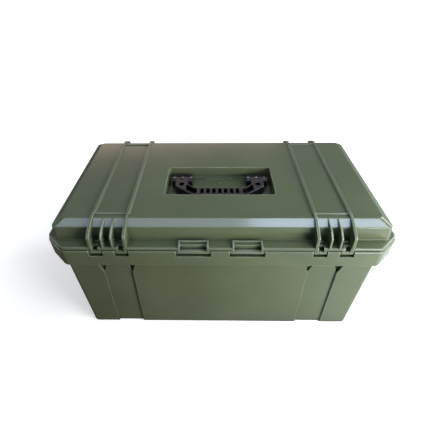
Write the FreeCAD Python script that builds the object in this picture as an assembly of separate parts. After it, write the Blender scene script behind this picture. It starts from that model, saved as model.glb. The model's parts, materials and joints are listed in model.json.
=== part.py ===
import FreeCAD, Part
import math
import os

# A large moulded plastic toolbox with a hinged lid, a fold-down carrying handle
# in a pocket of the lid, two snap latches and a lift-out tray.
# Millimetres, +Z up, +X along the length. The origin is the middle of the foot.
# The hinge side is -Y and the latch side is +Y.

V = FreeCAD.Vector

# Driving dimensions

# Body
foot_half_x = 257.0          # half length of the body at the floor
foot_half_y = 142.0          # half width of the body at the floor
body_height = 226.2          # height of the body's rim
wall_spread = 12.2           # how far the walls lean out from the floor to the rim
wall = 3.5                   # wall thickness of the body
floor_thick = 3.5
body_corner = 8.0            # plan radius of the body's corners
inner_corner_least = 3.0     # smallest plan radius of the body's inner corners
foot_round = 4.0             # rounding round the foot

# Flange band round the body
flange_reach_x = 20.8        # from the end walls at the rim to the flange's outer face
flange_reach_y = 19.8        # the same for the long sides
flange_cut = 33.0            # plan chamfer of the flange's corners
flange_round = 14.0          # rounding of the two ends of that chamfer
band_height = 31.0
band_skin = 3.0
band_draft = 1.0             # how far the band's foot stands back from its top
rim_thick = 4.0
rim_round = 2.5
web_thick = 2.4              # upright webs between the wall and the band
web_drop = 24.0              # from the rim down to a web's foot
web_off_strap = 14.0         # from a strap's outer face to the webs beside it
end_web_y = 85.0             # from the middle to the outer webs of the end walls

# Strap panels, a pair of shallow bands round the box
strap_centre = 180.3         # distance of each strap from the middle
strap_panel_half = 25.2      # half width of the recessed panel in the body wall
strap_depth = 3.2
notch_depth = 6.5            # small triangular notches at the panel's upper corners
notch_reach = 40.0           # how far a notch comes down below the flange
notch_half = 15.6            # half width of a notch at the flange

# Lid
parting_gap = 1.5            # open gap between lid flange and body rim
lid_plate = 4.8              # thickness of the lid's flange
plate_back = 1.6             # its edge stands this far inside the body's rim
shelf_end = 15.0             # width of the flange's shelf at the ends of the lid
shelf_side = 23.0            # and along its long sides
lid_wall_rise = 24.5         # wall height above the flange
lid_wall_lean = 1.0
lid_chamfer_in = 14.0        # the sloping band round the top
lid_chamfer_rise = 9.0
lid_corner = 8.0             # plan radius of the raised part's corners
lid_wall = 3.3
slope_thick = 1.8            # level thickness that the hollow leaves under the sloping band
lid_top_thick = 3.5
lid_edge_round = 1.6
plate_edge_round = 2.2       # upper edge of the lid's flange
plate_foot_round = 0.8       # and its lower edge
land_width = 3.5             # the land that the lid rests on
land_out = 4.3               # from the dust lip to the land
lip_thick = 2.5              # dust lip inside the body's rim
lip_corner_least = 1.0       # smallest plan radius inside a ring under the lid
lip_gap = 0.8
lip_drop = 6.5
rib_thick = 2.2              # ribs under the lid's top
rib_drop = 5.0
pocket_rib_in = 18.0         # from the ends of the handle pocket to the ribs that leave it

# Beads and fins of the straps
fin_half_span = 28.4         # from the strap's centre to its outer fins
fin_thick = 4.6
inner_fin_offset = 7.8       # from the strap's centre to its inner fins
inner_fin_thick = 3.0
inner_fin_sink = 0.3         # the inner fins' points lie this far below the lid's top
bead_rise = 3.0
bead_side = 2.2              # slope of a bead's sides in plan
bead_end_back = 11.5         # the beads turn into fins this far inside the top's edge
bead_end_rise = 1.2          # height of a fin's shoulder above the lid's top
crossbar_width = 3.0
crossbar_rise = 1.6
crossbar_back = 10.0         # from the top's edge to the cross bar
elbow_drop = 12.6            # from the lid's top down to a fin's elbow
elbow_round = 5.0
shoulder_out = 8.0           # where a fin starts to fall, outside the top's edge
shoulder_round = 45.0
inner_shoulder_out = 24.0    # the same for the inner fins
inner_shoulder_drop = 5.6    # from the lid's top down to their shoulder
inner_shoulder_round = 22.0
inner_elbow_drop = 13.6

# Hinge
knuckle_radius = 3.4
hinge_pin_radius = 1.5
hinge_drop = 6.0             # axis below the lid's flange
knuckle_length = 19.3        # the four knuckles of the straps
mid_knuckle_length = 53.3    # the two knuckles in the middle
mid_knuckle_centre = 43.4
knuckle_side_gap = 1.5
knuckle_back = 4.0           # web behind a knuckle's axis
notch_back_gap = 1.3
notch_under_gap = 3.3
lug_width = 7.0
lug_floor = 2.2
lug_back = 3.5
pin_cap = 1.5                # skin that closes a hinge pin's bore at each end
window_length = 8.5          # openings above the strap knuckles
window_off_fin = 1.2
window_depth = 7.6
mid_window_margin = 5.3
frame_depth = 16.4           # raised frames round the middle openings
frame_rise = 3.0
frame_wall = 3.0
frame_in = 2.3               # from the ends of a middle knuckle to the frame above it

# Running clearances and cuts
fixed_fit = 0.05             # radial, pin in the part that holds it
turning_fit = 0.08           # radial, pin in the part that turns
seat_gap = 0.3               # gap between parts that pass each other
past = 1.0                   # how far a cut runs past the face that it opens

# Handle
pivot_half_span = 71.0       # from the middle to each handle pivot
pivot_y = -5.0
handle_half_height = 6.75
handle_floor_gap = 0.7       # from the bracket's plate to the folded handle
handle_sink = 5.0            # the folded handle's top below the lid's top
arm_width = 23.4
grip_reach = 55.5            # from the pivots to the grip's outer side
grip_width = 22.0
bend_outer_reach = 28.0      # where the arms turn inwards
bend_inner_reach = 20.5
grip_half_outer = 50.0
grip_half_inner = 44.5
arm_bend_round = 8.0
grip_end_round = 10.0
inner_bend_round = 6.0
inner_grip_round = 8.0
handle_edge_round = 1.8
rim_width = 3.0              # rims left round the moulded pockets
core_depth = 9.5
arm_cup_radius = 5.6         # round cup in the top of each arm
arm_cup_reach = 21.5         # from the pivot to that cup
arm_core_in = 9.0            # from the arm's middle line to its long pocket
arm_core_length = 20.5
core_round = 2.0
grip_core_count = 7
grip_core_pitch = 10.7
grip_core_length = 6.4
handle_pin_radius = 2.5

# Handle brackets
bracket_half = 19.2
bracket_plate = 2.3
centre_lug_half = 4.4
lug_radius = 6.4
lug_slot_gap = 1.5           # behind the middle lug, inside the arm's slot
screw_pitch = 15.8
screw_back = 10.0            # from the pivots to the row of screws
screw_block_rise = 10.0
screw_block_back = 14.0      # from the screws to the bracket's far side
block_corner = 4.0
block_edge_round = 1.0
screw_radius = 1.75
screw_head_radius = 2.9
screw_head_rise = 2.2
screw_hole_gap = 0.1
driver_slot_width = 0.7
driver_slot_length = 2.8
driver_slot_depth = 1.2
backing_thick = 2.0
backing_margin = 2.5
nut_flats = 6.0
nut_thick = 3.2
screw_tail = 1.6

# Handle pocket in the lid
pocket_side_gap = 7.8        # beside the brackets
pocket_grip_gap = 8.7        # past the grip, towards the hinge side
pocket_back = 31.5           # from the pivots to the far wall
pocket_draft = 1.2
pocket_corner = 5.0
pocket_wall = 3.0
gate_radius = 3.0            # the moulding gate's spot in the pocket's floor
gate_rise = 0.6
gate_back = 9.0              # from the pivots to that spot
step_half_x = 26.0           # a low step in front of the far wall
step_back = 7.5
step_width = 2.5
step_rise = 0.9

# Latches
latch_gap = 0.7              # beside the latch, to the fins and the band's pocket
latch_pin_radius = 2.0
latch_pivot_rise = 13.5      # above the lid's flange
latch_pivot_in = 11.0        # inside the flange's outer face
latch_barrel = 5.0
latch_thick = 4.5
latch_bottom_up = 3.0        # above the band's lower edge
latch_recess = 8.0           # pocket in the band, from its face
latch_shoulder_round = 9.0
latch_foot_round = 1.6
latch_foot_step = 1.5
latch_root_round = 3.0
catch_reach = 2.5
catch_rise = 6.5
catch_crest = 2.2            # upright face of the catch, above which it slopes back
catch_up = 11.0              # above the band's lower edge
catch_margin = 4.0
hook_rise = 5.0
hook_slope = 2.0
hook_round = 0.8
groove_count = 5             # finger grooves across the latch's lower face
groove_pitch = 2.6
groove_half = 0.9
groove_depth = 1.0
groove_start = 4.5           # from the latch's foot to the first groove
groove_margin = 6.0

# Tray
tray_seat_drop = 64.2        # from the body's rim down to the ledges that carry the tray
tray_end_gap = 12.0          # from the tray's foot to the end walls
tray_side_gap = 15.0         # and to the long walls
tray_height = 48.0
tray_wall = 2.4
tray_flare = 4.0
tray_corner = 12.0
ledge_reach = 12.0           # how far the tray overlaps a ledge
ledge_thick = 4.0
ledge_half_y = 105.0
ledge_brace = 28.0           # height of the braces under a ledge
spine_thick = 4.0            # the tray's middle wall
spine_drop = 6.0             # its top, and the dividers', below the tray's rim
divider_spread = 85.0
grip_rise = 14.0             # the middle wall's grip above the tray's rim
grip_foot_half = 75.0
grip_top_half = 50.0
grip_foot_round = 8.0
grip_top_round = 12.0
grip_bar = 10.0              # thickness of the rounded bar along the grip
grip_bar_round = 3.0
grip_bar_back = 6.0
hand_slot_back = 8.0         # from the grip's ends to the hand slot
hand_slot_rise = 22.0
hand_slot_round = 7.0

# Places worked out from the dimensions

wall_lean = wall_spread / body_height
flange_half_x = foot_half_x + wall_spread + flange_reach_x
flange_half_y = foot_half_y + wall_spread + flange_reach_y
band_bottom = body_height - band_height
under_rim = body_height - rim_thick / 2
lid_half_x = flange_half_x - shelf_end
lid_half_y = flange_half_y - shelf_side
lid_bottom = body_height + parting_gap
shelf = lid_bottom + lid_plate
chamfer_foot = shelf + lid_wall_rise
lid_top = chamfer_foot + lid_chamfer_rise
lid_under = lid_top - lid_top_thick
top_half_x = lid_half_x - lid_wall_lean - lid_chamfer_in
top_half_y = lid_half_y - lid_wall_lean - lid_chamfer_in
lid_face = flange_half_y - plate_back
hinge_y = -(lid_face - knuckle_radius)
hinge_z = lid_bottom - hinge_drop
pivot_rise = bracket_plate + handle_floor_gap + handle_half_height
pivot_z = lid_top - handle_sink - handle_half_height
pocket_floor = pivot_z - pivot_rise
pocket_under = pocket_floor - pocket_wall
pocket_half_x = pivot_half_span + bracket_half + pocket_side_gap
pocket_near_y = pivot_y - grip_reach - pocket_grip_gap
pocket_far_y = pivot_y + pocket_back
screw_y = pivot_y + screw_back
screw_offsets = (-screw_pitch, 0, screw_pitch)
latch_y = flange_half_y - latch_pivot_in
latch_z = shelf + latch_pivot_rise
tray_seat = body_height - tray_seat_drop
tray_half_x = foot_half_x + tray_seat * wall_lean - wall - tray_end_gap
tray_half_y = foot_half_y + tray_seat * wall_lean - wall - tray_side_gap
tray_top = tray_seat + tray_height
sides = (-1, 1)
side_names = {-1: "left", 1: "right"}


# Shape helpers

def at(plane, level, a, b):
    if plane == "xy":
        return V(a, b, level)
    if plane == "yz":
        return V(level, a, b)
    return V(a, level, b)


def outline(points, radii, plane, level):
    """A closed wire through points in one plane, with a tangent arc at each rounded corner."""
    if isinstance(radii, (int, float)):
        radii = [radii] * len(points)
    starts, ends, middles = [], [], []
    count = len(points)
    for i in range(count):
        p = at(plane, level, *points[i])
        before = at(plane, level, *points[i - 1]) - p
        after = at(plane, level, *points[(i + 1) % count]) - p
        before.normalize()
        after.normalize()
        turn = math.pi - before.getAngle(after)
        if radii[i] <= 0 or turn < 1e-6:
            starts.append(p)
            ends.append(p)
            middles.append(None)
            continue
        reach = radii[i] * math.tan(turn / 2)
        inward = before + after
        inward.normalize()
        middle = p + inward * (radii[i] / math.cos(turn / 2) - radii[i])
        starts.append(p + before * reach)
        ends.append(p + after * reach)
        middles.append(middle)
    edges = []
    for i in range(count):
        if middles[i] is not None:
            edges.append(Part.Arc(starts[i], middles[i], ends[i]).toShape())
        following = starts[(i + 1) % count]
        if (following - ends[i]).Length > 1e-6:
            edges.append(Part.LineSegment(ends[i], following).toShape())
    return Part.Wire(edges)


def prism(points, radii, plane, start, end):
    """A straight solid between two levels of one axis."""
    face = Part.Face(outline(points, radii, plane, start))
    step = at(plane, end, 0, 0) - at(plane, start, 0, 0)
    return face.extrude(step)


def box(x0, x1, y0, y1, z0, z1):
    x0, x1 = min(x0, x1), max(x0, x1)
    y0, y1 = min(y0, y1), max(y0, y1)
    return Part.makeBox(x1 - x0, y1 - y0, z1 - z0, V(x0, y0, z0))


def rod(radius, x0, x1, y, z):
    return Part.makeCylinder(radius, abs(x1 - x0), V(min(x0, x1), y, z), V(1, 0, 0))


def post(radius, x, y, z0, z1):
    return Part.makeCylinder(radius, z1 - z0, V(x, y, z0))


def rectangle(x0, x1, y0, y1):
    return [(x0, y0), (x1, y0), (x1, y1), (x0, y1)]


def ring_outline(half_x, half_y, corner, z):
    """A rounded rectangle about the origin."""
    return outline(rectangle(-half_x, half_x, -half_y, half_y), corner, "xy", z)


def loft(wires):
    return Part.makeLoft(wires, True, True)


def edges_at(shape, z):
    """The edges that lie flat at one height."""
    found = []
    for edge in shape.Edges:
        bounds = edge.BoundBox
        if abs(bounds.ZMin - z) < 1e-4 and abs(bounds.ZMax - z) < 1e-4:
            found.append(edge)
    return found


def upright_edges(shape):
    found = []
    for edge in shape.Edges:
        bounds = edge.BoundBox
        if bounds.XLength < 1e-4 and bounds.YLength < 1e-4:
            found.append(edge)
    return found


def joined(shapes):
    first = shapes[0]
    if len(shapes) == 1:
        return first
    return first.fuse(shapes[1:]).removeSplitter()


def save(shape, name):
    solids = shape.Solids
    assert shape.isValid() and len(solids) > 0, name
    result = solids[0] if len(solids) == 1 else Part.makeCompound(solids)
    result.exportStep("parts/" + name + ".step")
    print(name, len(solids), round(sum(s.Volume for s in solids)))


# Places along the straps and the hinge

def strap_fins(side):
    centre = side * strap_centre
    return centre - fin_half_span, centre + fin_half_span


def knuckle_spans():
    """Start and end in X of each lid knuckle, grouped by the pin that it turns on."""
    groups = {}
    for side in sides:
        low, high = strap_fins(side)
        low -= fin_thick / 2
        high += fin_thick / 2
        groups["hinge_pin_" + side_names[side]] = [(low, low + knuckle_length),
                                                   (high - knuckle_length, high)]
        middle = side * mid_knuckle_centre
        half = mid_knuckle_length / 2
        groups["hinge_pin_mid_" + side_names[side]] = [(middle - half, middle + half)]
    return groups


def window_spans():
    """The openings above the knuckles: X range of each, and whether a frame goes round it."""
    spans = []
    for side in sides:
        low, high = strap_fins(side)
        inner = fin_thick / 2 + window_off_fin
        spans.append((low + inner, low + inner + window_length, False))
        spans.append((high - inner - window_length, high - inner, False))
        middle = side * mid_knuckle_centre
        half = mid_knuckle_length / 2 - mid_window_margin
        spans.append((middle - half, middle + half, True))
    return spans


def lug_reach(spans):
    """Outer faces of the two body lugs that hold one hinge pin."""
    out = knuckle_side_gap + lug_width
    return min(s[0] for s in spans) - out, max(s[1] for s in spans) + out


def pin_reach(spans):
    low, high = lug_reach(spans)
    return low + pin_cap, high - pin_cap


def latch_span(side):
    """The clear width between a strap's outer fins."""
    low, high = strap_fins(side)
    return low + fin_thick / 2, high - fin_thick / 2


# Body

def body_loft(inset, bottom, top):
    """The leaning box, with all its walls moved in by the inset."""
    corner = max(body_corner - inset, inner_corner_least)
    wires = []
    for z in (bottom, top):
        grow = z * wall_lean - inset
        wires.append(ring_outline(foot_half_x + grow, foot_half_y + grow, corner, z))
    return loft(wires)


def strap_area(side, grow, top):
    """The panel's area in front view, through the whole box."""
    centre = side * strap_centre
    half = strap_panel_half + grow
    reach = flange_half_y + past
    return box(centre - half, centre + half, -reach, reach, -past, top)


def notch_area(side, grow, top):
    """The two triangular notches at a panel's upper corners, in front view."""
    reach = flange_half_y + past
    slope = notch_half / notch_reach
    half = notch_half + (top - band_bottom) * slope + grow
    tip = band_bottom - notch_reach - grow / slope
    shapes = []
    for edge in sides:
        x = side * strap_centre + edge * strap_panel_half
        points = [(x, tip), (x + half, top), (x - half, top)]
        shapes.append(prism(points, 0, "xz", -reach, reach))
    return joined(shapes)


def recessed(solid, area, deeper):
    """The solid with its skin moved in, inside the area, to the deeper solid."""
    return solid.cut(area).fuse(deeper.common(area))


def body_skins():
    """The body's outside and inside, both following the strap panels and the notches."""
    outside = body_loft(0, 0, body_height)
    outside = outside.makeFillet(foot_round, edges_at(outside, 0))
    panel = body_loft(strap_depth, 0, body_height)
    panel = panel.makeFillet(foot_round, edges_at(panel, 0))
    notch = body_loft(notch_depth, floor_thick, body_height)
    inside = body_loft(wall, floor_thick, body_height + past)
    inside_panel = body_loft(wall + strap_depth, floor_thick, body_height + past)
    inside_notch = body_loft(wall + notch_depth, floor_thick, body_height + past)
    top = band_bottom + rim_thick
    for side in sides:
        outside = recessed(outside, strap_area(side, 0, top), panel)
        outside = recessed(outside, notch_area(side, 0, top), notch)
        inside = recessed(inside, strap_area(side, wall, top + wall), inside_panel)
        inside = recessed(inside, notch_area(side, wall, top + wall), inside_notch)
    return outside, inside


def flange_outline(z, inset, cut_inset):
    """The flange's outline, a rectangle with chamfered corners."""
    x = flange_half_x - inset
    y = flange_half_y - inset
    cut = flange_cut - cut_inset
    points = [(-x + cut, -y), (x - cut, -y), (x, -y + cut), (x, y - cut),
              (x - cut, y), (-x + cut, y), (-x, y - cut), (-x, -y + cut)]
    return outline(points, flange_round, "xy", z)


def flange_band():
    """The hanging band and the rim over it, open below."""
    band = loft([flange_outline(band_bottom, band_draft, 0), flange_outline(body_height, 0, 0)])
    band = band.makeFillet(rim_round, edges_at(band, body_height))
    skin_cut = band_skin * (2 - math.sqrt(2))
    hollow = loft([flange_outline(band_bottom - past, band_skin + band_draft, skin_cut),
                   flange_outline(body_height - rim_thick, band_skin, skin_cut)])
    return band.cut(hollow)


def band_webs():
    """Upright webs that stiffen the band against the wall."""
    half = web_thick / 2
    wall_x = foot_half_x + band_bottom * wall_lean - wall / 2
    wall_y = foot_half_y + band_bottom * wall_lean - wall / 2
    foot = body_height - web_drop
    off = fin_half_span + fin_thick + web_off_strap
    webs = []
    for s in sides:
        face = s * (flange_half_y - band_skin / 2)
        for x in (-strap_centre - off, -strap_centre + off, 0, strap_centre - off, strap_centre + off):
            webs.append(box(x - half, x + half, s * wall_y, face, foot, under_rim))
        face = s * (flange_half_x - band_skin / 2)
        for y in (-end_web_y, 0, end_web_y):
            webs.append(box(s * wall_x, face, y - half, y + half, foot, under_rim))
    return webs


def tray_ledges():
    """Braced ledges on the end walls that carry the tray."""
    half = web_thick / 2
    under = tray_seat - ledge_thick
    limit = body_loft(wall / 2, floor_thick, body_height - rim_thick)
    ledges = []
    for s in sides:
        x0 = s * (tray_half_x - ledge_reach)
        x1 = s * (foot_half_x + wall_spread)
        shapes = [box(x0, x1, -ledge_half_y, ledge_half_y, under, tray_seat)]
        for y in (-ledge_half_y + web_thick, 0, ledge_half_y - web_thick):
            points = [(x0, under), (x1, under), (x1, under - ledge_brace)]
            shapes.append(prism(points, 0, "xz", y - half, y + half))
        ledges.append(joined(shapes).common(limit))
    return ledges


def make_body():
    outside, inside = body_skins()

    # blocks behind the band that hold the hinge pins, and the notches for the knuckles
    notch_y = hinge_y + knuckle_back + notch_back_gap
    notch_z = hinge_z - knuckle_radius - notch_under_gap
    blocks = []
    hinge_cuts = []
    for spans in knuckle_spans().values():
        low, high = lug_reach(spans)
        blocks.append(box(low, high, -flange_half_y + band_skin / 2, notch_y + lug_back,
                          notch_z - lug_floor, under_rim))
        for start, end in spans:
            hinge_cuts.append(box(start - knuckle_side_gap, end + knuckle_side_gap, notch_y,
                                  -flange_half_y - past, notch_z, body_height + past))
        low, high = pin_reach(spans)
        hinge_cuts.append(rod(hinge_pin_radius + fixed_fit, low, high, hinge_y, hinge_z))

    # pockets in the band for the latches, with the catch that a latch snaps over
    pocket_y = flange_half_y - latch_recess
    latch_cuts = []
    catches = []
    for side in sides:
        low, high = latch_span(side)
        blocks.append(box(low - band_skin, high + band_skin, pocket_y - band_skin,
                          flange_half_y - band_skin / 2, band_bottom, under_rim))
        latch_cuts.append(box(low, high, pocket_y, flange_half_y + past,
                              band_bottom - past, body_height + past))
        z = band_bottom + catch_up
        root = pocket_y - past
        points = [(root, z), (pocket_y + catch_reach, z), (pocket_y + catch_reach, z + catch_crest),
                  (root, z + catch_rise)]
        catches.append(prism(points, 0, "yz", low + catch_margin, high - catch_margin))

    shell = joined([flange_band(), outside] + band_webs() + blocks)
    shell = shell.cut([inside] + latch_cuts)
    shell = shell.cut(hinge_cuts)
    save(joined([shell] + catches + tray_ledges()), "body_shell")


# Lid

def lid_bead(x):
    """A low raised bead along the lid's top, from edge to edge."""
    half = fin_thick / 2
    foot = lid_top - past
    spread = half + bead_side * (bead_rise + past) / bead_rise
    points = [(x - spread, foot), (x - half, lid_top + bead_rise),
              (x + half, lid_top + bead_rise), (x + spread, foot)]
    reach = top_half_y - bead_end_back + bead_side
    return prism(points, 0, "xz", -reach, reach)


def outer_fin(x, side):
    """The bead's end, which runs out over the sloping band and then falls to the rim."""
    start = side * (top_half_y - bead_end_back)
    face = side * lid_face
    points = [(start, lid_bottom), (start, lid_top + bead_rise),
              (side * (top_half_y + shoulder_out), lid_top + bead_end_rise),
              (face, lid_top - elbow_drop), (face, lid_bottom)]
    radii = [0, 0, shoulder_round, elbow_round, 0]
    return prism(points, radii, "yz", x - fin_thick / 2, x + fin_thick / 2)


def inner_fin(x, side):
    """A fin that starts as a point on the sloping band."""
    start = side * (top_half_y + past)
    face = side * lid_face
    foot = shelf - past
    points = [(start, foot), (start, lid_top - inner_fin_sink),
              (side * (top_half_y + inner_shoulder_out), lid_top - inner_shoulder_drop),
              (face, lid_top - inner_elbow_drop), (face, foot)]
    radii = [0, 0, inner_shoulder_round, elbow_round, 0]
    return prism(points, radii, "yz", x - inner_fin_thick / 2, x + inner_fin_thick / 2)


def strap_relief():
    """Beads, fins and cross bars of both straps."""
    shapes = []
    for side in sides:
        low, high = strap_fins(side)
        for x in (low, high):
            shapes.append(lid_bead(x))
            for s in sides:
                shapes.append(outer_fin(x, s))
        for offset in (-inner_fin_offset, inner_fin_offset):
            shapes.append(inner_fin(side * strap_centre + offset, -1))
        for s in sides:
            y = s * (top_half_y - crossbar_back)
            shapes.append(box(low, high, y - crossbar_width / 2, y + crossbar_width / 2,
                              lid_top - past, lid_top + crossbar_rise))
    return shapes


def hinge_relief():
    """Frames and bars round the openings over the hinge, and the knuckles under the rim."""
    face = -lid_face
    back = face + frame_depth
    foot = shelf - past
    top = shelf + frame_rise
    shapes = []
    for low, high, framed in window_spans():
        if framed:
            low -= mid_window_margin - frame_in
            high += mid_window_margin - frame_in
            ring = box(low, high, face, back, foot, top)
            hole = box(low + frame_wall, high - frame_wall, face - past, back - frame_wall,
                       shelf, top + past)
            shapes.append(ring.cut(hole))
        else:
            shapes.append(box(low, high, back - frame_wall, back, foot, top))
    for spans in knuckle_spans().values():
        for low, high in spans:
            shapes.append(box(low, high, face, hinge_y + knuckle_back, hinge_z, lid_bottom + past))
            shapes.append(rod(knuckle_radius, low, high, hinge_y, hinge_z))
    return shapes


def lid_crown():
    """The raised middle of the lid, with its sloping band."""
    crown = loft([ring_outline(lid_half_x, lid_half_y, lid_corner, lid_bottom + past),
                  ring_outline(lid_half_x - lid_wall_lean, lid_half_y - lid_wall_lean, lid_corner,
                               chamfer_foot),
                  ring_outline(top_half_x, top_half_y, lid_corner, lid_top)])
    return crown.makeFillet(lid_edge_round, edges_at(crown, lid_top) + edges_at(crown, chamfer_foot))


def lid_cuts():
    """The hollow under the lid, the openings over the hinge and the room for the latches."""
    x = lid_half_x - lid_wall
    y = lid_half_y - lid_wall
    corner = lid_corner - lid_wall
    middle = shelf - lid_plate / 2
    hollow = loft([ring_outline(x, y, corner, middle),
                   ring_outline(x - lid_wall_lean, y - lid_wall_lean, corner,
                                chamfer_foot - slope_thick),
                   ring_outline(top_half_x - slope_thick, top_half_y - slope_thick, corner, lid_under)])
    lip_x, lip_y = lip_halves()
    mouth = loft([ring_outline(lip_x - lip_thick, lip_y - lip_thick, body_corner - wall, z)
                  for z in (lid_bottom - past, middle)])
    cuts = [hollow, mouth]
    for low, high, framed in window_spans():
        cuts.append(box(low, high, -lid_face - past, -lid_face + window_depth,
                        hinge_z + knuckle_radius, shelf + frame_rise + past))
    for spans in knuckle_spans().values():
        low, high = pin_reach(spans)
        cuts.append(rod(hinge_pin_radius + turning_fit, low, high, hinge_y, hinge_z))
    for side in sides:
        low, high = latch_span(side)
        cuts.append(box(low, high, flange_half_y - latch_recess + seat_gap, flange_half_y + past,
                        lid_bottom - past, shelf + past))
        cuts.append(rod(latch_pin_radius + fixed_fit, low - fin_thick - past, high + fin_thick + past,
                        latch_y, latch_z))
    return cuts


def lip_halves():
    """Half length and half width of the dust lip, which fits inside the body's rim."""
    grow = wall_spread - wall - lip_gap
    return foot_half_x + grow, foot_half_y + grow


def lid_ring(half_x, half_y, thick, corner, bottom, top):
    """An upright ring under the lid, measured to its inner face."""
    outer = loft([ring_outline(half_x + thick, half_y + thick, corner, z) for z in (bottom, top)])
    inner = loft([ring_outline(half_x, half_y, max(corner - thick, lip_corner_least), z)
                  for z in (bottom - past, top + past)])
    return outer.cut(inner)


def lid_ribs(crown):
    """Ribs under the lid's top: across it below the beads, and from the handle pocket outwards."""
    half = rib_thick / 2
    low = lid_under - rib_drop
    high = lid_top - lid_top_thick / 2
    shapes = []
    for side in sides:
        for x in strap_fins(side):
            shapes.append(box(x - half, x + half, -lid_half_y, lid_half_y, low, high))
        for y in (pocket_near_y + pocket_rib_in, pocket_far_y - pocket_rib_in):
            shapes.append(box(side * pocket_half_x, side * lid_half_x, y - half, y + half, low, high))
        x = side * (pocket_half_x - pocket_rib_in)
        shapes.append(box(x - half, x + half, -lid_half_y, pocket_near_y, low, high))
        shapes.append(box(x - half, x + half, pocket_far_y, lid_half_y, low, high))
    return joined(shapes).common(crown)


def handle_pocket():
    """The tub that is added under the lid, and the pocket that is cut into it."""
    def pocket_outline(z, inset):
        points = rectangle(-pocket_half_x + inset, pocket_half_x - inset,
                           pocket_near_y + inset, pocket_far_y - inset)
        return outline(points, pocket_corner, "xy", z)

    tub = loft([pocket_outline(pocket_under, pocket_draft - pocket_wall),
                pocket_outline(lid_top - lid_top_thick / 2, -pocket_wall)])
    pocket = loft([pocket_outline(pocket_floor, pocket_draft), pocket_outline(lid_top + past, 0)])
    return tub, pocket.makeFillet(core_round, edges_at(pocket, pocket_floor))


def make_lid():
    crown = lid_crown()
    cut_back = plate_back * (2 - math.sqrt(2))
    plate = loft([flange_outline(z, plate_back, cut_back) for z in (lid_bottom, shelf)])
    plate = plate.makeFillet(plate_edge_round, edges_at(plate, shelf))
    plate = plate.makeFillet(plate_foot_round, edges_at(plate, lid_bottom))
    lid = joined([crown, plate] + strap_relief() + hinge_relief())
    lid = lid.cut(lid_cuts())

    lip_x, lip_y = lip_halves()
    lip = lid_ring(lip_x - lip_thick, lip_y - lip_thick, lip_thick, body_corner - wall,
                   body_height - lip_drop, lid_bottom + past)
    land = lid_ring(lip_x + land_out, lip_y + land_out, land_width, lid_corner,
                    body_height, lid_bottom + past)
    tub, pocket = handle_pocket()
    lid = joined([lid, tub, lip, land, lid_ribs(crown)])
    holes = []
    for side in sides:
        for offset in screw_offsets:
            holes.append(post(screw_radius + screw_hole_gap, side * pivot_half_span + offset, screw_y,
                              pocket_under - past, pocket_floor + past))
    lid = lid.cut([pocket] + holes)
    gate = post(gate_radius, 0, pivot_y + gate_back, pocket_floor - past, pocket_floor + gate_rise)
    step_y = pocket_far_y - step_back
    step = box(-step_half_x, step_half_x, step_y - step_width, step_y,
               pocket_floor - past, pocket_floor + step_rise)
    save(joined([lid, gate, step]), "lid_shell")


# Hinge pins

def make_hinge_pins():
    for name, spans in knuckle_spans().items():
        low, high = pin_reach(spans)
        save(rod(hinge_pin_radius, low + seat_gap, high - seat_gap, hinge_y, hinge_z), name)


# Handle

def make_handle():
    outer = pivot_half_span + arm_width / 2
    inner = pivot_half_span - arm_width / 2
    grip_outer_y = pivot_y - grip_reach
    grip_inner_y = grip_outer_y + grip_width
    bottom = pivot_z - handle_half_height
    top = pivot_z + handle_half_height
    plan = [(outer, pivot_y), (outer, pivot_y - bend_outer_reach), (grip_half_outer, grip_outer_y),
            (-grip_half_outer, grip_outer_y), (-outer, pivot_y - bend_outer_reach), (-outer, pivot_y),
            (-inner, pivot_y), (-inner, pivot_y - bend_inner_reach), (-grip_half_inner, grip_inner_y),
            (grip_half_inner, grip_inner_y), (inner, pivot_y - bend_inner_reach), (inner, pivot_y)]
    radii = [0, arm_bend_round, grip_end_round, grip_end_round, arm_bend_round, 0,
             0, inner_bend_round, inner_grip_round, inner_grip_round, inner_bend_round, 0]
    face = Part.Face(outline(plan, radii, "xy", bottom))
    bow = face.extrude(V(0, 0, top - bottom))
    rims = [e for e in edges_at(bow, bottom) + edges_at(bow, top)
            if e.BoundBox.YMin < pivot_y - past]
    bow = bow.makeFillet(handle_edge_round, rims)
    ends = [rod(handle_half_height, s * inner, s * outer, pivot_y, pivot_z) for s in sides]
    handle = joined([bow] + ends)

    cuts = []
    slot_half = centre_lug_half + seat_gap
    floor = top - core_depth
    for s in sides:
        x = s * pivot_half_span
        cuts.append(box(x - slot_half, x + slot_half, pivot_y - lug_radius - lug_slot_gap,
                        pivot_y + handle_half_height + past, bottom - past, top + past))
        cuts.append(rod(handle_pin_radius + turning_fit, s * (inner - past), s * (outer + past),
                        pivot_y, pivot_z))
        cuts.append(post(arm_cup_radius, x, pivot_y - arm_cup_reach, floor, top + past))
        # the long pocket of each arm follows the arm's outline, a rim's width inside it
        start = pivot_half_span - arm_core_in + rim_width
        end = pivot_half_span - arm_core_in - arm_core_length - rim_width
        arm = Part.Face(outline(rectangle(min(s * start, s * end), max(s * start, s * end),
                                          grip_outer_y, pivot_y), 0, "xy", bottom))
        core = face.common(arm).Faces[0].makeOffset2D(-rim_width)
        core.translate(V(0, 0, floor - bottom))
        core = core.extrude(V(0, 0, core_depth + past))
        cuts.append(core.makeFillet(core_round / 2, upright_edges(core)))
    first = -grip_core_pitch * (grip_core_count - 1) / 2
    half = grip_core_length / 2
    for i in range(grip_core_count):
        x = first + i * grip_core_pitch
        points = rectangle(x - half, x + half, grip_outer_y + rim_width, grip_inner_y - rim_width)
        cuts.append(prism(points, core_round, "xy", floor, top + past))
    save(handle.cut(cuts), "handle")


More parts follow.
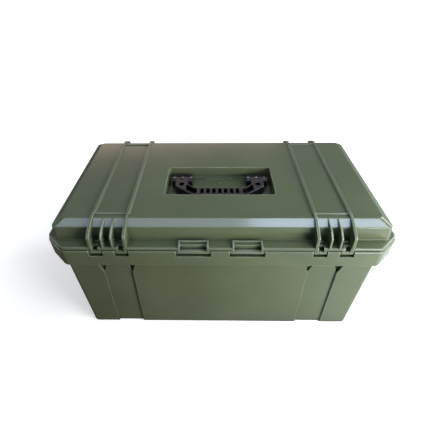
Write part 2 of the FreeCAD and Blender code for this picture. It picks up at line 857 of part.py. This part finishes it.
def make_bracket(side):
    """A plate and a screw block, with three lugs that the arm's two knuckles turn between."""
    x = side * pivot_half_span
    low, high = x - bracket_half, x + bracket_half
    near = pivot_y - lug_radius
    block_near = pivot_y + handle_half_height + seat_gap
    far = screw_y + screw_block_back
    block_top = pocket_floor + screw_block_rise
    plate_top = pocket_floor + bracket_plate
    radii = [block_edge_round, block_edge_round, block_corner, block_corner]
    plate = prism(rectangle(low, high, near, far), radii, "xy", pocket_floor, plate_top)
    block = prism(rectangle(low, high, block_near, far), radii, "xy", pocket_floor, block_top)
    block = block.makeFillet(block_edge_round, edges_at(block, block_top))
    shapes = [plate, block]
    arm_side = arm_width / 2 + seat_gap
    lugs = ((-bracket_half, -arm_side), (-centre_lug_half, centre_lug_half), (arm_side, bracket_half))
    for start, end in lugs:
        shapes.append(rod(lug_radius, x + start, x + end, pivot_y, pivot_z))
        foot = [(near, plate_top - past), (block_near + past, plate_top - past),
                (block_near + past, block_top - block_edge_round), (pivot_y + lug_radius, pivot_z),
                (near, pivot_z)]
        shapes.append(prism(foot, 0, "yz", x + start, x + end))
    holes = [rod(handle_pin_radius + fixed_fit, low - past, high + past, pivot_y, pivot_z)]
    for offset in screw_offsets:
        holes.append(post(screw_radius + screw_hole_gap, x + offset, screw_y,
                          pocket_floor - past, block_top + past))
    save(joined(shapes).cut(holes), "handle_bracket_" + side_names[side])


def bracket_screw(x):
    """A round-headed screw with a cross slot, through the bracket, the lid and its nut."""
    head_z = pocket_floor + screw_block_rise
    head_top = head_z + screw_head_rise
    dome = (screw_head_radius ** 2 + screw_head_rise ** 2) / (2 * screw_head_rise)
    head = post(screw_head_radius, x, screw_y, head_z, head_top)
    head = head.common(Part.makeSphere(dome, V(x, screw_y, head_top - dome)))
    shank = post(screw_radius, x, screw_y, pocket_under - backing_thick - nut_thick - screw_tail,
                 head_top - driver_slot_depth)
    long = driver_slot_length / 2
    short = driver_slot_width / 2
    slot_z = head_top - driver_slot_depth
    cross = [box(x - long, x + long, screw_y - short, screw_y + short, slot_z, head_top + past),
             box(x - short, x + short, screw_y - long, screw_y + long, slot_z, head_top + past)]
    return joined([head, shank]).cut(cross)


def bracket_nut(x):
    top = pocket_under - backing_thick
    corner = nut_flats / math.sqrt(3)
    angles = [math.radians(60 * k) for k in range(6)]
    hexagon = [(x + corner * math.cos(a), screw_y + corner * math.sin(a)) for a in angles]
    nut = prism(hexagon, 0, "xy", top - nut_thick, top)
    return nut.cut(post(screw_radius + fixed_fit, x, screw_y, top - nut_thick - past, top + past))


def make_fasteners(side):
    """The pin, the three screws, the backing plate and the nuts of one handle bracket."""
    x = side * pivot_half_span
    name = side_names[side]
    save(rod(handle_pin_radius, x - bracket_half, x + bracket_half, pivot_y, pivot_z),
         "handle_pin_" + name)
    save(Part.makeCompound([bracket_screw(x + offset) for offset in screw_offsets]),
         "bracket_screws_" + name)
    save(Part.makeCompound([bracket_nut(x + offset) for offset in screw_offsets]),
         "bracket_nuts_" + name)
    half_x = screw_pitch + nut_flats / 2 + backing_margin
    half_y = nut_flats / 2 + backing_margin
    bottom = pocket_under - backing_thick
    plate = prism(rectangle(x - half_x, x + half_x, screw_y - half_y, screw_y + half_y),
                  core_round, "xy", bottom, pocket_under)
    bores = [post(screw_radius + screw_hole_gap, x + offset, screw_y, bottom - past, pocket_under + past)
             for offset in screw_offsets]
    save(plate.cut(bores), "backing_plate_" + name)


# Latches

def make_latch(side):
    """A snap latch that turns on a pin through the strap's fins, and that pin."""
    low, high = latch_span(side)
    x0 = low + latch_gap
    x1 = high - latch_gap
    face = flange_half_y
    back = face - latch_thick
    tip = flange_half_y - latch_recess + catch_reach + seat_gap
    foot = band_bottom + latch_bottom_up
    hook_top = band_bottom + catch_up - seat_gap
    profile = [(latch_y, latch_z + latch_barrel), (face, latch_z - latch_barrel / 2), (face, foot),
               (back + latch_foot_step, foot), (tip, hook_top - hook_rise), (tip, hook_top),
               (back, hook_top + hook_slope), (back, latch_z - latch_barrel),
               (latch_y, latch_z - latch_barrel)]
    radii = [0, latch_shoulder_round, latch_foot_round, hook_round, hook_round, hook_round,
             0, latch_root_round, 0]
    lever = prism(profile, radii, "yz", x0, x1)
    lever = joined([lever, rod(latch_barrel, x0, x1, latch_y, latch_z)])
    cuts = [rod(latch_pin_radius + turning_fit, x0 - past, x1 + past, latch_y, latch_z)]
    rise = groove_half * past / groove_depth
    for i in range(groove_count):
        z = foot + groove_start + i * groove_pitch
        points = [(face + past, z - groove_half - rise), (face + past, z + groove_half + rise),
                  (face - groove_depth, z)]
        cuts.append(prism(points, 0, "yz", x0 + groove_margin, x1 - groove_margin))
    save(lever.cut(cuts), "latch_" + side_names[side])
    save(rod(latch_pin_radius, low - fin_thick, high + fin_thick, latch_y, latch_z),
         "latch_pin_" + side_names[side])


# Tray

def tray_shell():
    outer = loft([ring_outline(tray_half_x, tray_half_y, tray_corner, tray_seat),
                  ring_outline(tray_half_x + tray_flare, tray_half_y + tray_flare, tray_corner, tray_top)])
    x = tray_half_x - tray_wall
    y = tray_half_y - tray_wall
    corner = tray_corner - tray_wall
    inner = loft([ring_outline(x, y, corner, tray_seat + tray_wall),
                  ring_outline(x + tray_flare, y + tray_flare, corner, tray_top)])
    return outer.cut([inner, inner.translated(V(0, 0, past))])


def make_tray():
    """An open tray with a middle wall that rises into a grip, and two dividers on one side."""
    spine_top = tray_top - spine_drop
    flare = tray_flare * (tray_height - spine_drop) / tray_height
    foot_x = tray_half_x - tray_wall / 2
    foot_y = tray_half_y - tray_wall / 2
    grip_top = tray_top + grip_rise
    points = [(-foot_x, tray_seat), (foot_x, tray_seat), (foot_x + flare, spine_top),
              (grip_foot_half, spine_top), (grip_top_half, grip_top), (-grip_top_half, grip_top),
              (-grip_foot_half, spine_top), (-foot_x - flare, spine_top)]
    radii = [0, 0, 0, grip_foot_round, grip_top_round, grip_top_round, grip_foot_round, 0]
    spine = prism(points, radii, "xz", -spine_thick / 2, spine_thick / 2)
    slot_top = grip_top - grip_bar
    slot_half = grip_top_half - hand_slot_back
    slot = prism(rectangle(-slot_half, slot_half, slot_top - hand_slot_rise, slot_top),
                 hand_slot_round, "xz", -grip_bar, grip_bar)
    bar_half = grip_top_half - grip_bar_back
    bar = prism(rectangle(-grip_bar / 2, grip_bar / 2, slot_top, grip_top), grip_bar_round, "yz",
                -bar_half, bar_half)
    dividers = []
    profile = [(0, tray_seat), (0, spine_top), (-foot_y - flare, spine_top), (-foot_y, tray_seat)]
    for s in sides:
        x = s * divider_spread
        dividers.append(prism(profile, 0, "yz", x - tray_wall / 2, x + tray_wall / 2))
    save(joined([tray_shell(), spine.cut(slot), bar] + dividers), "tray")


os.makedirs("parts", exist_ok=True)
make_body()
make_lid()
make_hinge_pins()
make_handle()
for the_side in sides:
    make_bracket(the_side)
    make_fasteners(the_side)
    make_latch(the_side)
make_tray()
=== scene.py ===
import bpy
import json
import math
from mathutils import Matrix, Vector

# A moulded plastic toolbox, seen from its hinge side and from above.
# Every solid comes from the CAD frame. This script gives it edges, finishes, light and a camera.

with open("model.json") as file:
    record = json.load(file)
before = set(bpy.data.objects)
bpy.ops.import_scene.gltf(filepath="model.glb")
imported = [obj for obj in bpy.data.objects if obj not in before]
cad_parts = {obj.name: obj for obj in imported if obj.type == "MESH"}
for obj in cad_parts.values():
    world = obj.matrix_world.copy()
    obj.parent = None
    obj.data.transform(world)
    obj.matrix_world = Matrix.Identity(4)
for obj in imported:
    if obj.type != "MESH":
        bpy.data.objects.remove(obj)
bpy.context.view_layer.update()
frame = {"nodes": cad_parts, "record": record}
mm = 0.001
print("stage: frame loaded,", len(frame["nodes"]), "nodes")


# Small tools

def srgb(code):
    # a hex colour as seen on screen, turned by the sRGB standard's formula to the shaders' linear values
    channels = [int(code[i:i + 2], 16) / 255 for i in (1, 3, 5)]
    linear = [c / 12.92 if c <= 0.04045 else ((c + 0.055) / 1.055) ** 2.4 for c in channels]
    return (*linear, 1.0)


def addNode(tree, kind, settings=None, values=None, links=None):
    # one node, with its settings, the values of its sockets and what feeds them
    node = tree.nodes.new(kind)
    for name, value in (settings or {}).items():
        setattr(node, name, value)
    for socket, value in (values or {}).items():
        node.inputs[socket].default_value = value
    for socket, source in (links or {}).items():
        tree.links.new(source, node.inputs[socket])
    return node


def newMaterial(name):
    material = bpy.data.materials.new(name)
    material.use_nodes = True
    tree = material.node_tree
    tree.nodes.clear()
    return material, tree


# Polypropylene, moulded half glossy with a faint spark-eroded grain from the mould.
# The eye sees an even olive green, broad clear reflections and edges rubbed a little lighter, which also
# paints highlights on edges that face up.
boxPlastic = {
    "colour": "#5c634a",
    "shade": "#545b43",          # where the colour drifts a little darker
    "rubbedAndHighlit": "#9ba58f",         # lighter, where edges have been rubbed, and a painted highlight on edges that catch light from above
    "roughness": 0.17,
    "roughnessDrift": 0.03,
    "ior": 1.49,
    "driftSize": 160 * mm,       # size of the slow colour drift
    "grainSize": 1.1 * mm,       # the real grain is about 0.2 mm, drawn coarser so that it shows
    "grainDepth": 0.012 * mm,
    "wearSize": 45 * mm,         # size of the patches where hands rub more or less
    "edgeRound": 1.9 * mm,       # the mould's edges are rounded, which shows as bright lines
    "edgeReach": 2.6 * mm,       # how far in from an edge it is rubbed and painted lighter as a highlight
    "sideWearAndHighlight": 0.12,            # how much of the rubbing and painted highlight an edge gets that doesn't face up
    "paintedShadeReach": 14 * mm,       # how far from a corner the painted shade in corners and hollows reaches
    "deepestPaintedShade": 0.30,               # how dark the painted shade is in the deepest corners, beside the unshaded colour
}

# Glass-filled nylon, moulded and left slightly glossy. It looks black with a faint violet sheen.
handlePlastic = {
    "colour": "#120e17",
    "shade": "#0d0a12",
    # the edges' lighter colour: rubbing, and a painted highlight
    "rubbedAndHighlit": "#3d3542",
    "roughness": 0.34,
    "roughnessDrift": 0.08,
    "ior": 1.53,
    "driftSize": 22 * mm,
    "grainSize": 0.8 * mm,       # 0.15 mm on the real one, drawn coarser so that it shows
    "grainDepth": 0.010 * mm,
    "wearSize": 12 * mm,
    "edgeRound": 0.8 * mm,
    "edgeReach": 1.2 * mm,
    # how much rubbing and painted highlight the edges get that don't face up
    "sideWearAndHighlight": 0.40,
    # painted shade in corners and hollows: how far it reaches and how dark it is at the deepest
    "paintedShadeReach": 9 * mm,
    "deepestPaintedShade": 0.35,
}

# Acetal, moulded smooth. The latches look black, with a clean waxy gloss.
# the edges' lighter colour here is rubbing and a painted highlight
latchPlastic = dict(handlePlastic, colour="#151516", shade="#101011", rubbedAndHighlit="#2b2b2d",
                    roughness=0.30, ior=1.48)

# Moulded polypropylene with a coarser grain. The tray looks dull black.
# the edges' lighter colour here is rubbing and a painted highlight
trayPlastic = dict(handlePlastic, colour="#1c1d1d", shade="#161717", rubbedAndHighlit="#303232",
                   roughness=0.48, ior=1.49, driftSize=70 * mm,
                   grainSize=1.4 * mm,       # 0.3 mm on the real one, drawn coarser so that it shows
                   grainDepth=0.02 * mm)


# Where the patterns begin and end, the same for all the plastics. Noise lies round 0.5, and
# openness is 1 at a point with nothing near it and 0 in the deepest corner.
plasticPattern = {
    "driftDetail": 3.0, "driftRoughness": 0.5, "driftFrom": 0.35, "driftTo": 0.65,
    "grainDetail": 2.0, "grainRoughness": 0.6,
    "wearDetail": 1.0, "wearRoughness": 0.4, "wearFrom": 0.35, "wearTo": 0.65,
    "leastWear": 0.45,                       # what is left of the wear and painted highlight in its thinnest patches
    "edgeFrom": 0.92, "edgeTo": 0.55,        # openness looking inwards, from a flat face to an edge
    "reachFrom": 0.20, "reachTo": 0.50,      # openness where hands can't reach and where they can
    "upFrom": -0.1, "upTo": 0.35,            # how far up a face looks, from none to the full rubbing and painted highlight, which is strongest where light falls from above
    "paintedShadeFrom": 0.15, "paintedShadeTo": 0.85,        # openness where the painted shade is darkest and where it stops
    "roundSamples": 6, "openSamples": 8,
}


def mouldedPlastic(name, look):
    pattern = plasticPattern
    material, tree = newMaterial(name)
    coordinates = addNode(tree, "ShaderNodeTexCoord")
    place = coordinates.outputs["Object"]
    drift = addNode(tree, "ShaderNodeTexNoise",
                    values={"Scale": 1 / look["driftSize"], "Detail": pattern["driftDetail"],
                            "Roughness": pattern["driftRoughness"]},
                    links={"Vector": place})
    grain = addNode(tree, "ShaderNodeTexNoise",
                    values={"Scale": 1 / look["grainSize"], "Detail": pattern["grainDetail"],
                            "Roughness": pattern["grainRoughness"]},
                    links={"Vector": place})
    wear = addNode(tree, "ShaderNodeTexNoise",
                   values={"Scale": 1 / look["wearSize"], "Detail": pattern["wearDetail"],
                           "Roughness": pattern["wearRoughness"]},
                   links={"Vector": place})
    tint = addNode(tree, "ShaderNodeMapRange",
                   values={"From Min": pattern["driftFrom"], "From Max": pattern["driftTo"]},
                   links={"Value": drift.outputs["Fac"]})
    colour = addNode(tree, "ShaderNodeMix", {"data_type": "RGBA"},
                     {"A": srgb(look["shade"]), "B": srgb(look["colour"])},
                     {"Factor": tint.outputs["Result"]})
    rounded = addNode(tree, "ShaderNodeBevel", {"samples": pattern["roundSamples"]},
                      {"Radius": look["edgeRound"]})
    # an edge that stands out is where a look inwards soon meets another face
    inward = addNode(tree, "ShaderNodeAmbientOcclusion",
                     {"samples": pattern["openSamples"], "inside": True, "only_local": True},
                     {"Distance": look["edgeReach"]})
    edge = addNode(tree, "ShaderNodeMapRange",
                   values={"From Min": pattern["edgeFrom"], "From Max": pattern["edgeTo"]},
                   links={"Value": inward.outputs["AO"]})
    # how open each point is: it sets which edges are rubbed and where painted shade darkens corners
    hollow = addNode(tree, "ShaderNodeAmbientOcclusion", {"samples": pattern["openSamples"]},
                     {"Distance": look["paintedShadeReach"]})
    # hands rub the edges that stand out, here more and there less, and their lighter colour is also a
    # painted highlight
    reached = addNode(tree, "ShaderNodeMapRange",
                      values={"From Min": pattern["reachFrom"], "From Max": pattern["reachTo"]},
                      links={"Value": hollow.outputs["AO"]})
    patchy = addNode(tree, "ShaderNodeMapRange",
                     values={"From Min": pattern["wearFrom"], "From Max": pattern["wearTo"],
                             "To Min": pattern["leastWear"]},
                     links={"Value": wear.outputs["Fac"]})
    # and those that face up more than those that face sideways or down: the painted highlight of light from
    # above
    facing = addNode(tree, "ShaderNodeSeparateXYZ", links={0: coordinates.outputs["Normal"]})
    upward = addNode(tree, "ShaderNodeMapRange",
                     values={"From Min": pattern["upFrom"], "From Max": pattern["upTo"],
                             "To Min": look["sideWearAndHighlight"]},
                     links={"Value": facing.outputs["Z"]})
    exposed = addNode(tree, "ShaderNodeMath", {"operation": "MULTIPLY"},
                      links={0: reached.outputs["Result"], 1: upward.outputs["Result"]})
    often = addNode(tree, "ShaderNodeMath", {"operation": "MULTIPLY"},
                    links={0: exposed.outputs["Value"], 1: patchy.outputs["Result"]})
    rubAndHighlight = addNode(tree, "ShaderNodeMath", {"operation": "MULTIPLY"},
                  links={0: edge.outputs["Result"], 1: often.outputs["Value"]})
    wornAndHighlit = addNode(tree, "ShaderNodeMix", {"data_type": "RGBA"},
                   {"B": srgb(look["rubbedAndHighlit"])},
                   {"Factor": rubAndHighlight.outputs["Value"], "A": colour.outputs["Result"]})
    # painted shade: the colour is darkened where little light reaches, in corners and hollows
    paintedShadeFactor = addNode(tree, "ShaderNodeMapRange",
                    values={"From Min": pattern["paintedShadeFrom"], "From Max": pattern["paintedShadeTo"],
                            "To Min": look["deepestPaintedShade"]},
                    links={"Value": hollow.outputs["AO"]})
    wornColourWithPaintedShade = addNode(tree, "ShaderNodeVectorMath", {"operation": "SCALE"},
                     links={0: wornAndHighlit.outputs["Result"], "Scale": paintedShadeFactor.outputs["Result"]})
    rough = addNode(tree, "ShaderNodeMapRange",
                    values={"To Min": look["roughness"] - look["roughnessDrift"],
                            "To Max": look["roughness"] + look["roughnessDrift"]},
                    links={"Value": drift.outputs["Fac"]})
    texture = addNode(tree, "ShaderNodeBump",
                      values={"Strength": 1.0, "Distance": look["grainDepth"]},
                      links={"Height": grain.outputs["Fac"], "Normal": rounded.outputs["Normal"]})
    shader = addNode(tree, "ShaderNodeBsdfPrincipled",
                     values={"IOR": look["ior"], "Metallic": 0.0},
                     links={"Base Color": wornColourWithPaintedShade.outputs["Vector"],
                            "Roughness": rough.outputs["Result"],
                            "Normal": texture.outputs["Normal"]})
    addNode(tree, "ShaderNodeOutputMaterial", links={"Surface": shader.outputs["BSDF"]})
    return material


# Carbon steel with zinc plate: cool silver, a little dull, with fine turning marks and duller spots.
zincPlate = {
    "colour": "#f2f5fa",
    "dull": "#d4d9e2",           # where the plate has dulled
    "roughness": 0.42, "dullRoughness": 0.52,
    "markSize": 0.5 * mm,        # the turning marks are about 0.1 mm apart, drawn coarser
    "markDepth": 0.006 * mm,
    "spotSize": 2.5 * mm,
}

# Cold-drawn steel rod: grey, scored finely by the die.
drawnSteel = {
    "colour": "#a9aaac",
    "dull": "#86878a",
    "roughness": 0.30, "dullRoughness": 0.45,
    "markSize": 0.4 * mm,        # the scores are about 0.1 mm apart, drawn coarser
    "markDepth": 0.008 * mm,
    "spotSize": 6 * mm,
}

# Where the dull spots begin and end, the same for both metals
metalPattern = {"spotDetail": 4.0, "markDetail": 2.0, "dullFrom": 0.40, "dullTo": 0.62}


def workedMetal(name, look):
    material, tree = newMaterial(name)
    place = addNode(tree, "ShaderNodeTexCoord").outputs["Object"]
    spots = addNode(tree, "ShaderNodeTexNoise",
                    values={"Scale": 1 / look["spotSize"], "Detail": metalPattern["spotDetail"]},
                    links={"Vector": place})
    marks = addNode(tree, "ShaderNodeTexNoise",
                    values={"Scale": 1 / look["markSize"], "Detail": metalPattern["markDetail"]},
                    links={"Vector": place})
    dulled = addNode(tree, "ShaderNodeMapRange",
                     values={"From Min": metalPattern["dullFrom"], "From Max": metalPattern["dullTo"]},
                     links={"Value": spots.outputs["Fac"]})
    colour = addNode(tree, "ShaderNodeMix", {"data_type": "RGBA"},
                     {"A": srgb(look["colour"]), "B": srgb(look["dull"])},
                     {"Factor": dulled.outputs["Result"]})
    rough = addNode(tree, "ShaderNodeMapRange",
                    values={"To Min": look["roughness"], "To Max": look["dullRoughness"]},
                    links={"Value": dulled.outputs["Result"]})
    relief = addNode(tree, "ShaderNodeBump", values={"Strength": 1.0, "Distance": look["markDepth"]},
                     links={"Height": marks.outputs["Fac"]})
    shader = addNode(tree, "ShaderNodeBsdfPrincipled", values={"Metallic": 1.0},
                     links={"Base Color": colour.outputs["Result"],
                            "Roughness": rough.outputs["Result"],
                            "Normal": relief.outputs["Normal"]})
    addNode(tree, "ShaderNodeOutputMaterial", links={"Surface": shader.outputs["BSDF"]})
    return material


finishes = {
    "green_plastic": mouldedPlastic("oliveMouldedPolypropylene", boxPlastic),
    "handle_plastic": mouldedPlastic("blackGlassFilledNylon", handlePlastic),
    "latch_plastic": mouldedPlastic("blackMouldedAcetal", latchPlastic),
    "tray_plastic": mouldedPlastic("blackMouldedPolypropylene", trayPlastic),
    "pin_steel": workedMetal("coldDrawnSteel", drawnSteel),
    "screw_zinc": workedMetal("zincPlatedSteel", zincPlate),
}
print("stage: finishes made,", len(finishes))


# Edges and finishes of the CAD nodes

edgeLook = {
    # how wide the edges are rounded, by the start of a node's name: "handle" takes its brackets and pins too
    "widths": {"body_shell": 0.5 * mm, "lid_shell": 0.5 * mm, "tray": 0.5 * mm,
               "handle": 0.4 * mm, "latch": 0.4 * mm},
    "smallPieces": 0.15 * mm,    # hinge and latch pins, screws, nuts and plates
    "segments": 2,
    "sharpAngle": 35,            # degrees: edges flatter than this stay as they are
    "weldDistance": 0.002 * mm,
    "normalWeight": 80,          # how much the large faces lead the shading beside the small ones
}


def edgeWidth(name):
    for start, width in edgeLook["widths"].items():
        if name.startswith(start) and not name.startswith("latch_pin"):
            return width
    return edgeLook["smallPieces"]


def soften(piece, width):
    # the mesh comes with split corners, so it is welded before its edges are rounded
    weld = piece.modifiers.new("weld", "WELD")
    weld.merge_threshold = edgeLook["weldDistance"]
    bevel = piece.modifiers.new("edges", "BEVEL")
    bevel.width = width
    bevel.segments = edgeLook["segments"]
    bevel.limit_method = "ANGLE"
    bevel.angle_limit = math.radians(edgeLook["sharpAngle"])
    bevel.use_clamp_overlap = True
    normals = piece.modifiers.new("normals", "WEIGHTED_NORMAL")
    normals.keep_sharp = True
    normals.weight = edgeLook["normalWeight"]


slotOf = {part["node"]: part["material_slot"] for part in frame["record"]["subparts"]}
for name, piece in frame["nodes"].items():
    piece.data.materials.clear()
    piece.data.materials.append(finishes[slotOf[name]])
    soften(piece, edgeWidth(name))
print("stage: nodes finished")


# Floor, backdrop and light

floorLook = {
    "half": 6.0,                 # metres from the middle to the floor's sides
    "toCamera": "#f4f4f4",       # the white of the picture
    "toObjectLeft": "#574a3b",   # the floor that lights the object: dull and warm on the left
    "toObjectRight": "#c6ced4",  # and pale and cool on the right
    "paleFrom": -0.25, "paleTo": 0.45,     # where it turns from one to the other, in metres along X
    "glowNear": 0.42,            # keeps the shadow pale beside the object
    "glowFar": 1.0,              # plain white farther off
    "fadeFrom": 0.36, "fadeTo": 0.95,      # where the glow turns from one to the other, in metres
    "whiteInGloss": 0.07,        # how much of the picture's white the object's gloss shows of it
}


def seenWhite(tree, shareInGloss):
    # 1 where the camera looks straight at it, and a share of that in gloss and through clear pieces
    path = addNode(tree, "ShaderNodeLightPath")
    indirect = addNode(tree, "ShaderNodeMath", {"operation": "MAXIMUM"},
                       links={0: path.outputs["Is Glossy Ray"], 1: path.outputs["Is Transmission Ray"]})
    share = addNode(tree, "ShaderNodeMath", {"operation": "MULTIPLY"}, {1: shareInGloss},
                    {0: indirect.outputs["Value"]})
    seen = addNode(tree, "ShaderNodeMath", {"operation": "MAXIMUM"},
                   links={0: path.outputs["Is Camera Ray"], 1: share.outputs["Value"]})
    return seen.outputs["Value"]


def paleFloor():
    # a plain floor: white to the camera, with the object's shadow kept on it
    half = floorLook["half"]
    mesh = bpy.data.meshes.new("floor")
    mesh.from_pydata([(-half, -half, 0), (half, -half, 0), (half, half, 0), (-half, half, 0)], [],
                     [(0, 1, 2, 3)])
    floor = bpy.data.objects.new("floor", mesh)
    bpy.context.scene.collection.objects.link(floor)
    material, tree = newMaterial("paleFloor")
    seen = seenWhite(tree, floorLook["whiteInGloss"])
    place = addNode(tree, "ShaderNodeTexCoord").outputs["Object"]
    distance = addNode(tree, "ShaderNodeVectorMath", {"operation": "LENGTH"}, links={0: place})
    glow = addNode(tree, "ShaderNodeMapRange", {"interpolation_type": "SMOOTHSTEP"},
                   {"From Min": floorLook["fadeFrom"], "From Max": floorLook["fadeTo"],
                    "To Min": floorLook["glowNear"], "To Max": floorLook["glowFar"]},
                   {"Value": distance.outputs["Value"]})
    strength = addNode(tree, "ShaderNodeMath", {"operation": "MULTIPLY"},
                       links={0: glow.outputs["Result"], 1: seen})
    across = addNode(tree, "ShaderNodeSeparateXYZ", links={0: place})
    pale = addNode(tree, "ShaderNodeMapRange",
                   values={"From Min": floorLook["paleFrom"], "From Max": floorLook["paleTo"]},
                   links={"Value": across.outputs["X"]})
    underneath = addNode(tree, "ShaderNodeMix", {"data_type": "RGBA"},
                         {"A": srgb(floorLook["toObjectLeft"]), "B": srgb(floorLook["toObjectRight"])},
                         {"Factor": pale.outputs["Result"]})
    colour = addNode(tree, "ShaderNodeMix", {"data_type": "RGBA"}, {"B": srgb(floorLook["toCamera"])},
                     {"Factor": seen, "A": underneath.outputs["Result"]})
    diffuse = addNode(tree, "ShaderNodeBsdfDiffuse", links={"Color": colour.outputs["Result"]})
    light = addNode(tree, "ShaderNodeEmission", links={"Strength": strength.outputs["Value"]})
    both = addNode(tree, "ShaderNodeAddShader", links={0: diffuse.outputs["BSDF"],
                                                       1: light.outputs["Emission"]})
    addNode(tree, "ShaderNodeOutputMaterial", links={"Surface": both.outputs["Shader"]})
    mesh.materials.append(material)


lamps = {
    # the long strips overhead are what the lid's sloping band mirrors, brighter on the right
    "overheadStrip": {"place": (0.0, -0.365, 1.15), "target": (0.0, -0.143, 0.26),
                      "size": (1.60, 0.10), "watts": 3.0, "colour": "#d0e0ff"},
    "overheadRight": {"place": (0.57, -0.365, 1.13), "target": (0.57, -0.143, 0.26),
                      "size": (0.86, 0.10), "watts": 3.3, "colour": "#cfe0ff"},
    # the main light on the hinge side, from the right
    "rightFront": {"place": (0.70, -0.66, 0.41), "target": (0.20, -0.17, 0.18),
                   "size": (0.55, 0.40), "watts": 15.5, "colour": "#eef0ee"},
    # the main light on the lid's top, too far to the side for the top to mirror it to the camera
    "rearRight": {"place": (1.45, 0.65, 1.25), "target": (0.0, 0.0, 0.25),
                  "size": (0.70, 0.70), "watts": 19.0, "colour": "#e2f2f4"},
    # keeps the left end from going dark
    "leftFill": {"place": (-1.40, 0.20, 0.42), "target": (-0.20, 0.0, 0.16),
                 "size": (0.80, 0.50), "watts": 3.5, "colour": "#f3f1ec"},
    # a warm light far behind, mirrored in the farthest part of the top
    "warmFar": {"place": (-0.30, 2.00, 0.95), "target": (0.0, 0.0, 0.25),
                "size": (1.60, 0.40), "watts": 4.0, "colour": "#ffdcc0"},
}


def softLamps():
    for name, look in lamps.items():
        data = bpy.data.lights.new(name, "AREA")
        data.shape = "RECTANGLE"
        data.size, data.size_y = look["size"]
        data.energy = look["watts"]
        data.color = srgb(look["colour"])[:3]
        lamp = bpy.data.objects.new(name, data)
        lamp.location = look["place"]
        aim = Vector(look["target"]) - Vector(look["place"])
        lamp.rotation_euler = aim.to_track_quat("-Z", "Y").to_euler()
        lamp.visible_camera = False
        bpy.context.scene.collection.objects.link(lamp)


roomLook = {
    "colour": "#dfe4ea",         # the soft grey light of the room
    "strength": 0.20,
    "backdrop": "#ffffff",
    "backdropStrength": 1.0,
    "whiteInGloss": 0.22,        # how much of the white backdrop the object's gloss shows
}


def paleWorld():
    # soft grey light all round, and plain white to the camera
    world = bpy.data.worlds.new("paleWorld")
    bpy.context.scene.world = world
    world.use_nodes = True
    tree = world.node_tree
    tree.nodes.clear()
    seen = seenWhite(tree, roomLook["whiteInGloss"])
    soft = addNode(tree, "ShaderNodeBackground",
                   values={"Color": srgb(roomLook["colour"]), "Strength": roomLook["strength"]})
    white = addNode(tree, "ShaderNodeBackground",
                    values={"Color": srgb(roomLook["backdrop"]),
                            "Strength": roomLook["backdropStrength"]})
    mix = addNode(tree, "ShaderNodeMixShader", links={0: seen, 1: soft.outputs["Background"],
                                                      2: white.outputs["Background"]})
    addNode(tree, "ShaderNodeOutputWorld", links={"Surface": mix.outputs["Shader"]})


paleFloor()
softLamps()
paleWorld()
bpy.context.scene.view_settings.view_transform = "Standard"
print("stage: light ready")


# Camera, set from the photograph's outlines

cameraLook = {
    "place": (-9.93 * mm, -576.08 * mm, 606.63 * mm),
    "yaw": -1.665, "pitch": 38.297, "roll": -0.908,      # degrees: to the right, down, and tilted
    "focalPixels": 346.35,
    "centrePixel": (206.28, 221.18),                     # where the lens axis meets the picture
    "picture": 447,                                      # the picture's width and height in pixels
    "sensor": 36,                                        # millimetres
    "nearest": 10 * mm,                                  # nothing nearer than this is drawn
}


def photoCamera():
    yaw, pitch, roll = (math.radians(cameraLook[key]) for key in ("yaw", "pitch", "roll"))
    forward = Vector((math.sin(yaw) * math.cos(pitch),
                      math.cos(yaw) * math.cos(pitch),
                      -math.sin(pitch)))
    # to the camera's right and up, before it is tilted
    level = Vector((math.cos(yaw), -math.sin(yaw), 0))
    above = level.cross(forward)
    right = level * math.cos(roll) + above * math.sin(roll)
    up = above * math.cos(roll) - level * math.sin(roll)
    data = bpy.data.cameras.new("camera")
    size = cameraLook["picture"]
    data.sensor_width = cameraLook["sensor"]
    data.lens = cameraLook["focalPixels"] / size * data.sensor_width
    data.shift_x = (size / 2 - cameraLook["centrePixel"][0]) / size
    data.shift_y = (cameraLook["centrePixel"][1] - size / 2) / size
    data.clip_start = cameraLook["nearest"]
    camera = bpy.data.objects.new("camera", data)
    turn = Matrix((right, up, -forward)).transposed().to_4x4()
    camera.matrix_world = Matrix.Translation(Vector(cameraLook["place"])) @ turn
    bpy.context.scene.collection.objects.link(camera)
    bpy.context.scene.camera = camera


photoCamera()
print("stage: camera ready")
